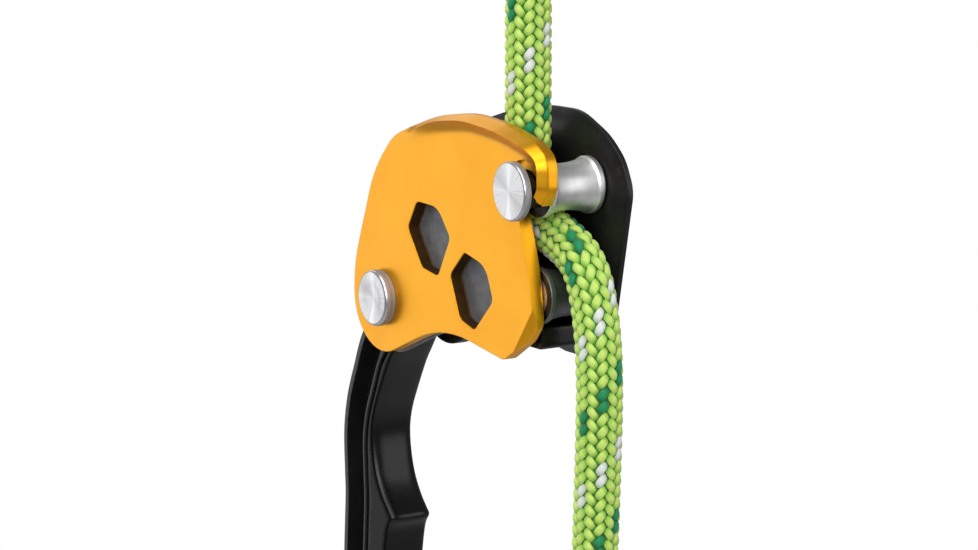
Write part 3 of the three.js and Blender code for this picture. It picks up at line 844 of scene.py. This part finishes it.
def mobile_outline():
    """Outline with the hook slot, the path of the neck about the pivot."""
    inner = HOOK_RADIUS - SLOT_R
    outer = HOOK_RADIUS + SLOT_R
    tip = (PIVOT[0] + outer * math.cos(HOOK_TIP), PIVOT[1] + outer * math.sin(HOOK_TIP), 0.3)
    return rounded(
        arc(PIVOT, inner, 0.1, HOOK_ANGLE, 40)
        + arc(UPPER, SLOT_R, HOOK_ANGLE + math.pi, HOOK_ANGLE, 40)[1:]
        + arc(PIVOT, outer, HOOK_ANGLE, HOOK_TIP + 0.02, 6)[1:]
        + [tip, (tip[0] + 0.9, tip[1] - 0.35, 0.3)] + HOOK_SIDE
        + SHOULDER + [LOBE_CORNER, ARCH_TOP] + CORNER)


TOP_EDGE = rounded([(EDGE_X, -3, 0), (8, -3, 0)] + HOOK_SIDE + SHOULDER
                   + [LOBE_CORNER, ARCH_TOP] + CORNER)
WINDOWS = [
    rounded([(-52.9, -9.6, 2.5), (-42.2, -9.9, 7), (-35.8, -17.4, 1.8), (-42, -28.7, 1.8),
             (-50.3, -27.4, 3), (-57.7, -17.5, 2.5)]),
    rounded([(-28.6, -20.3, 1.8), (-18.2, -22.6, 7), (-14.5, -31.4, 2.5), (-23.6, -40.6, 2),
             (-30.9, -38.6, 3), (-35.9, -27.4, 2.5)]),
]
FIXED_OUTLINE = rounded([(2, -46.6, 7), (7, -34, 20), (13.9, -0.5, 9), (10.2, 7.3, 14),
                         (3.4, 13, 25), (-9.5, 18.4, 22), (-24, 18.2, 40)] + SHOULDER
                        + [LOBE_CORNER, ARCH_TOP, (-12, -46.6, 6)])
LIP_OUT = MOBILE_FRONT - LIP_FRONT
LIP_RIDGE = 1.5                   # ridge of the lip, in from the outline
LIP_DROP = 0.9                    # of the outline behind the plate's face
LIP_REACH = 6.0                   # where the hollow below it has faded
FACET_AT = np.array([(3.8, -31.7), (-5.1, -44.0)])     # front edge of the flat at the lower corner
FACET_WAY = np.array([0.81, -0.586])
FACET_SLOPE = 0.64
FACET_DEPTH = 2.9                 # where the flat meets the edge
FLARE = 2.6                       # of the fixed plate's rim towards the rope
FLARE_REACH = 6.5
FLARE_EDGE = 0.4
STEP_W = 0.1                      # of the walls of seats and pockets cut into a face


def lip_share(points):
    x, z = points[:, 0], points[:, 1]
    return smooth(-66, -32, x) * (1 - 0.3 * smooth(1, 9, x)) * smooth(-9, -5, z)


def facet(points):
    """Distance past the front edge of the flat, zero on the face."""
    return np.maximum((points - FACET_AT[0]) @ FACET_WAY, 0)


def mobile_front(points):
    """Height of the gold face: rolled lip, hollow below it, seat of the head, corner bevel."""
    away = distance(points, TOP_EDGE)
    share = lip_share(points)
    hollow = np.clip(1 - (away - LIP_RIDGE) / (LIP_REACH - LIP_RIDGE), 0, 1) ** 2
    bevel = np.clip(away / LIP_RIDGE, 0, 1)
    rise = np.where(away > LIP_RIDGE, hollow * LIP_OUT, bevel * (LIP_OUT + LIP_DROP) - LIP_DROP)
    y = MOBILE_FRONT - share * rise
    seat = np.linalg.norm(points - UPPER, axis=1)
    y = np.where(seat < RECESS_R - STEP_W / 2, MOBILE_FRONT + RECESS_T, y)
    return y + np.minimum(FACET_SLOPE * facet(points), FACET_DEPTH)


def make_mobile_plate():
    outline = mobile_outline()
    loop = counter_clockwise(densify(TOP_EDGE))
    share = lip_share(loop) > 0.01
    start = int(np.argmax(share & ~np.roll(share, 1)))
    loop_top = np.roll(loop, -start, axis=0)
    top = np.roll(share, -start)
    lines = [inset(loop_top, d)[top] for d in (0.8, LIP_RIDGE, 2.1, 2.9, 3.9, 5.0, LIP_REACH)]
    crease = FACET_AT[0] + np.linspace(-0.3, 1.3, 60)[:, None] * (FACET_AT[1] - FACET_AT[0])
    crease = crease[inside(crease, TOP_EDGE) & (distance(crease, TOP_EDGE) > 0.3)]
    lines.append(crease)
    lines += [ring_line(UPPER, radius, 120) for radius in (RECESS_R, RECESS_R - STEP_W)]
    bore = circle(PIVOT, radius_of("mobile_plate_bush") + GAP, 64)
    plate = sculpted("mobile_plate_fine", [outline, *WINDOWS, bore], mobile_front,
                     flat(MOBILE_BACK), [GOLD, SHADED_GOLD], "mobile_side_plate",
                     ["mobile_plate"], edge=0.18, spacing=1.3, lines=lines, sharp=30,
                     # the walls of the windows get the gold darkened with painted shade
                     wall_finish=lambda p: np.any([distance(p, w) < 0.5 for w in WINDOWS], axis=0))


def make_fixed_plate():
    def flare(points):
        x, z = points[:, 0], points[:, 1]
        share = smooth(-62, -40, x) * smooth(-44, -34, z)
        away = distance(points, FIXED_OUTLINE)
        fade = np.clip(1 - (away - FLARE_EDGE) / (FLARE_REACH - FLARE_EDGE), 0, 1) ** 2
        return FLARE * share * fade

    holes = [circle(UPPER, BOLT_BORE), circle(LOWER, BOLT_BORE), circle(PIVOT, AXLE_BORE)]
    seat_r = radius_of("lower_nut") + GAP
    floor = low("lower_nut")[1] - GAP

    def back(points):
        far = np.linalg.norm(points - LOWER, axis=1)
        return np.where(far < seat_r - STEP_W / 2, floor, FIXED_BACK)

    plate = sculpted("fixed_plate_fine", [FIXED_OUTLINE, *holes], lambda p: FIXED_FRONT + flare(p),
                     back, FORGED, "head", ["fixed_plate"], edge=0.35, spacing=1.6, sharp=40,
                     lines=[ring_line(LOWER, r, 96) for r in (seat_r, seat_r - STEP_W)])


def make_block():
    shelf_top = LOWER[1] - FLANGE_R - 0.7
    left = LOWER[0] - FLANGE_R
    block = sculpted("channel_block_fine", [rounded([
        (1, -42.6, 1.5), (1, shelf_top, 1.2), (left - 1.4, shelf_top, 3), (left - 1.4, -22.2, 2),
        (-20, -19.6, 4), (-25, -10, 6), (-25, 10.5, 2), (-53, 5, 6), (-59, -18, 8), (-53, -33, 8),
        (-40, -42.6, 8)])], flat(BLOCK_FRONT), flat(BOLLARD_BACK), POLYMER, "head",
        ["channel_block"], edge=0.5, spacing=2.2)
    bore = circle(PIVOT, AXLE_BORE)
    drop = [(x, z - 0.6, r) for x, z, r in (LOBE_CORNER, ARCH_TOP)]
    liner = sculpted("liner_plate_fine", [rounded([
        (left - 2, -43, 2), (left - 2, -23, 2), (-20, -20, 4), (-25.4, -10, 6), (-25.4, 9, 2),
        (-54, 3, 6), (-68, -9, 12), (LOBE_SIDE + 1, -32, 20)] + drop), bore],
        flat(LINER_FRONT), flat(LINER_BACK), LINER, "head", ["liner_plate"], edge=0.2, spacing=2.2)


# ---- turned pieces --------------------------------------------------------------------
def make_bollards():
    rim = 1.6
    hollow = BOLLARD_BACK - rim
    sag = FLANGE_R - 0.3 - WAIST_R
    waist = [(WAIST_R + sag * (y / hollow) ** 2, y) for y in np.linspace(-hollow, hollow, 33)]
    for name, at, finish in (("upper_bollard", UPPER, STEEL), ("lower_bollard", LOWER, DARK_STEEL)):
        bore = BOLT_BORE if name == "upper_bollard" else LOWER_BORE
        profile = rounded([(bore, BOLLARD_FRONT, 0), (FLANGE_R, BOLLARD_FRONT, 0.5),
                           (FLANGE_R, -hollow, 0.25)] + [(r, y, 0) for r, y in waist[1:-1]]
                          + [(FLANGE_R, hollow, 0.25), (FLANGE_R, BOLLARD_BACK, 0.5),
                             (bore, BOLLARD_BACK, 0)], closed=False, turn=math.radians(15))
        piece = turned(name + "_fine", profile, at, [finish, SHADED_STEEL], "head", [name],
                       choose=lambda radius, y: int(y < BOLLARD_FRONT + 0.1))


def make_bolts():
    head_back = HEAD_FRONT + HEAD_T
    profile = rounded([(0, HEAD_FRONT, 0), (HEAD_R, HEAD_FRONT, 0.8),
                       (HEAD_R, head_back - 0.75, 0.05), (HEAD_R - 0.25, head_back - 0.7, 0.05),
                       (HEAD_R - 0.25, head_back - 0.45, 0.05), (HEAD_R, head_back - 0.4, 0.05),
                       (HEAD_R, head_back, 0.2), (NECK_R, head_back, 0.2),
                       (NECK_R, BOLLARD_FRONT - GAP, 0.1), (SHANK_R, BOLLARD_FRONT - GAP, 0),
                       (SHANK_R, BOLT_END, 0.4), (0, BOLT_END, 0)],
                      closed=False, turn=math.radians(15))
    bolt = turned("upper_bolt_fine", profile, UPPER, [HEAD_STEEL, BAND_STEEL, SHADED_STEEL],
                  "head", ["upper_bolt"],
                  choose=lambda radius, y: int(y > HEAD_FRONT + 0.5) + int(y > head_back - 0.1))
    front = low("pivot_axle")[1]
    back = front + 2.15
    r = radius_of("pivot_axle")
    dish = [(0, front + 0.75, 0), (2.2, front + 0.66, 0), (4.0, front + 0.32, 0),
            (5.0, front + 0.04, 0)]
    profile = rounded(dish + [(5.6, front, 0.5), (r, front, 1.1), (r, back, 0.3), (AXLE_R, back, 0),
                              (AXLE_R, BOLT_END, 0.4), (0, BOLT_END, 0)],
                      closed=False, turn=math.radians(10))
    axle = turned("pivot_axle_fine", profile, PIVOT, [HEAD_STEEL, BAND_STEEL], "head",
                  ["pivot_axle"], choose=lambda radius, y: int(y > front + 0.8))
    r = radius_of("pivot_head_washer")
    front, back = low("pivot_head_washer")[1], high("pivot_head_washer")[1] + 0.25
    washer = turned("pivot_head_washer_fine", rounded(
        [(AXLE_BORE, front, 0), (r, front, 0.12), (r, back, 0.12), (AXLE_BORE, back, 0)],
        closed=False, turn=math.radians(15)), PIVOT, BAND_STEEL, "head", ["pivot_head_washer"])


def make_nuts():
    r = radius_of("lower_nut")
    front, rear = low("lower_nut")[1], high("lower_nut")[1]
    sunk = turned("lower_nut_fine", rounded(
        [(BOLT_BORE, front, 0.2), (r, front, 0.2), (r, rear, 0.4), (BOLT_BORE, rear, 0.4)],
        turn=math.radians(15)), LOWER, STEEL, "head", ["lower_nut"])
    for name, at, bore in (("upper_nut", UPPER, BOLT_BORE), ("pivot_nut", PIVOT, AXLE_BORE)):
        r = max(radius_of(name), (high(name)[2] - low(name)[2]) / 2)
        hexagon = rounded([(at[0] + r * math.cos(a), at[1] + r * math.sin(a), 0.4)
                           for a in np.arange(6) * math.pi / 3])

        def chamfered(points):
            past = np.linalg.norm(points - at, axis=1) - r * math.cos(math.pi / 6) + 0.2
            return NUT_BACK - 0.55 * np.clip(past, 0, 3)

        nut = sculpted(name + "_fine", [hexagon, circle(at, bore)], flat(NUT_FRONT), chamfered,
                       STEEL, "head", [name], edge=0.25, spacing=0.7, sharp=30)


# ---- arm --------------------------------------------------------------------------------
ARM_ROUTE = np.array([
    (0, 0), (-16.4, -16.8), (-21.6, -27.4), (-25.2, -36.2), (-26.9, -45), (-26.7, -56),
    (-26.4, -63), (-26.9, -72), (-27.6, -84), (-27.7, -105), (-27.2, -135),
    tuple(ARM_EYE - PIVOT),
]) + PIVOT
ARM_LINE = catmull(ARM_ROUTE, 0.5)
ARM_S = lengths(ARM_LINE)
ARM_L = float(ARM_S[-1])
ARM_WAY = np.gradient(ARM_LINE, axis=0)
ARM_WAY /= np.linalg.norm(ARM_WAY, axis=1)[:, None]
CHANNEL_START = 19.0              # from the pivot, along the bar
CHANNEL_END = ARM_L - 22.0
CHANNEL_ROUND = 5.0               # length of its rounded ends
CHANNEL_DEPTH = 4.9
CHANNEL_WALL = 0.7                # slope of its walls
HUB_BORE = 6.5
EYE_BORE = 7.3
BUSH_BORE = 5.6
BUSH_R = 7.0


def arm_at(s, side):
    """Point beside the arm's middle line at s along it; a positive side is towards the rope."""
    s = np.atleast_1d(np.asarray(s, float))
    t = np.clip(s, 0, ARM_L)
    mid = np.stack([np.interp(t, ARM_S, ARM_LINE[:, k]) for k in (0, 1)], 1)
    way = np.stack([np.interp(t, ARM_S, ARM_WAY[:, k]) for k in (0, 1)], 1)
    way /= np.linalg.norm(way, axis=1)[:, None]
    left_hand = np.stack([-way[:, 1], way[:, 0]], 1)
    return mid + way * (s - t)[:, None] + left_hand * np.broadcast_to(side, s.shape)[:, None]


def arm_width(s):
    """Half-width of the bar, swelling into the hub and the eye."""
    hub = np.sqrt(np.maximum(HUB_R ** 2 - s ** 2, 0))
    eye = np.sqrt(np.maximum(EYE_R ** 2 - (s - ARM_L) ** 2, 0))
    bar = np.where((s > 0) & (s < ARM_L), ARM_HALF, 0)
    blend = 6
    return (hub ** blend + eye ** blend + bar ** blend) ** (1 / blend)


def make_arm():
    cap = 1 - np.cos(np.linspace(0, math.pi / 2, 20))
    s = np.concatenate([-HUB_R + HUB_R * cap, np.linspace(0.8, ARM_L - 0.8, 190),
                        ARM_L + EYE_R - EYE_R * cap[::-1]])
    width = arm_width(s)
    edge = np.vstack([arm_at(s, width), arm_at(s, -width)[::-1][1:-1]])
    run = np.linspace(CHANNEL_START, CHANNEL_END, 120)
    before = (CHANNEL_START + CHANNEL_ROUND - run) / CHANNEL_ROUND
    after = (run - CHANNEL_END + CHANNEL_ROUND) / CHANNEL_ROUND
    taper = np.sqrt(np.clip(1 - before.clip(0) ** 2, 0, 1) * np.clip(1 - after.clip(0) ** 2, 0, 1))
    middle = (RIM_W - RIM_ROPE_W) / 2
    half = ARM_HALF - (RIM_W + RIM_ROPE_W) / 2
    channel = np.vstack([arm_at(run, middle + half * taper),
                         arm_at(run, middle - half * taper)[::-1][1:-1]])
    floor = inset(counter_clockwise(densify(channel)), CHANNEL_WALL)

    def depth(points):
        wall = smooth(0, CHANNEL_WALL, distance(points, channel))
        return np.where(inside(points, channel), CHANNEL_DEPTH * wall, 0)

    bar = sculpted("arm_bar_fine", [edge, circle(PIVOT, HUB_BORE), circle(ARM_EYE, EYE_BORE)],
                   lambda p: ARM_FRONT + depth(p), lambda p: ARM_BACK - depth(p), FORGED, "arm",
                   ["arm_bar"], edge=0.45, spacing=1.5, lines=[densify(channel), floor], sharp=50)
    bush = turned("arm_eye_bush_fine", rounded(
        [(BUSH_BORE, ARM_FRONT, 0.4), (BUSH_R, ARM_FRONT, 0.3), (BUSH_R, ARM_BACK, 0.3),
         (BUSH_BORE, ARM_BACK, 0.4)], turn=math.radians(15)), ARM_EYE, STEEL, "arm",
        ["arm_eye_bush"])


GRIP_PROFILE = [
    (0.055, 2.2), (0.085, 3.2), (0.116, 3.8), (0.19, 3.6), (0.233, 3.4), (0.273, 3.7),
    (0.32, 4.7), (0.358, 6.4), (0.389, 9.6), (0.401, 12.4), (0.407, 13.9), (0.413, 13.9),
    (0.425, 12.4), (0.447, 11.6), (0.51, 10.5), (0.549, 10), (0.588, 11.4), (0.624, 12.8),
    (0.662, 12.3), (0.703, 8.9), (0.738, 3.8), (0.75, 2.2),
]


def make_grip():
    inner = ARM_HALF + 0.05
    share = np.array([t for t, _ in GRIP_PROFILE]) * ARM_L
    reach = np.array([thickness for _, thickness in GRIP_PROFILE])
    corners = np.vstack([arm_at(s, inner + 0.25 + r) for s, r in zip(share, reach)])
    wave = catmull(corners, 0.8)
    back = arm_at(np.linspace(share[-1], share[0], 110), inner)
    around = np.vstack([wave, back])
    grip = sculpted("arm_grip_fine", [around], flat(ARM_FRONT + 0.15), flat(ARM_BACK - 0.15),
                    [POLYMER, POLYMER_FACE], "arm", ["arm_grip"], edge=1.4, spacing=1.3, sharp=50,
                    crown=2.8, face_finish=lambda p: distance(p, around) > 1.0)


# ---- carried-over CAD pieces ------------------------------------------------------------
def finish_kept_nodes():
    for node, finish in (("lower_bolt", STEEL), ("block_screw_1", STEEL), ("block_screw_2", STEEL),
                         ("arm_washer_front", BRONZE), ("arm_washer_rear", BRONZE),
                         ("mobile_plate_bush", BRONZE), ("arm_pivot_bush", BRONZE)):
        for slot in bpy.data.objects[node].material_slots:
            slot.material = finish


# ---- stage --------------------------------------------------------------------------------
FLOOR = -1.3                       # the brake hangs on its rope well above the floor, metres


def make_stage():
    mesh = bpy.data.meshes.new("floor")
    corners = [(-3, -3, FLOOR), (3, -3, FLOOR), (3, 3, FLOOR), (-3, 3, FLOOR)]
    mesh.from_pydata(corners, [], [(0, 1, 2, 3)])
    mesh.materials.append(pale_floor())
    floor = linked("floor", mesh)
    make_world()
    target = Vector((-0.03, 0, -0.03))
    for name, place, size, glow in LAMPS:
        lamp = bpy.data.lights.new(name, "AREA")
        lamp.shape = "RECTANGLE"
        lamp.size, lamp.size_y = size
        lamp.energy = glow * math.pi * size[0] * size[1]
        obj = linked(name, lamp)
        obj.location = place
        obj.rotation_euler = (target - Vector(place)).to_track_quat("-Z", "Y").to_euler()
        obj.visible_camera = False


# Soft boxes: name, place, size, radiance.
LAMPS = [
    ("left_box", (-1.10, -0.75, -0.10), (1.3, 1.1), 0.98),
    ("right_box", (1.10, 0.75, 0.30), (0.9, 1.3), 1.4),
    ("top_box", (0.15, -0.45, 1.20), (1.0, 1.0), 2.4),
    ("rear_box", (-1.05, 0.30, 0.62), (0.8, 0.8), 0.85),
    ("front_box", (0.95, -0.95, 0.60), (1.1, 1.1), 3.5),
]


def make_world():
    """White seen directly, dim grey where it lights and is reflected."""
    world = bpy.data.worlds.new("studio")
    world.use_nodes = True
    tree = world.node_tree
    seen = tree.nodes["Background"]
    around = tree.nodes.new("ShaderNodeBackground")
    for node, tint, strength in ((seen, (1, 1, 1, 1), 1.0), (around, (0.96, 0.98, 1, 1), 0.2)):
        node.inputs["Color"].default_value = tint
        node.inputs["Strength"].default_value = strength
    path = tree.nodes.new("ShaderNodeLightPath")
    mix = tree.nodes.new("ShaderNodeMixShader")
    tree.links.new(path.outputs["Is Camera Ray"], mix.inputs["Fac"])
    tree.links.new(around.outputs["Background"], mix.inputs[1])
    tree.links.new(seen.outputs["Background"], mix.inputs[2])
    tree.links.new(mix.outputs["Shader"], tree.nodes["World Output"].inputs["Surface"])
    bpy.context.scene.world = world
    bpy.context.scene.view_settings.view_transform = "Standard"


make_camera()
make_rope()
make_mobile_plate()
make_fixed_plate()
make_block()
make_bollards()
make_bolts()
make_nuts()
make_arm()
make_grip()
finish_kept_nodes()
make_stage()
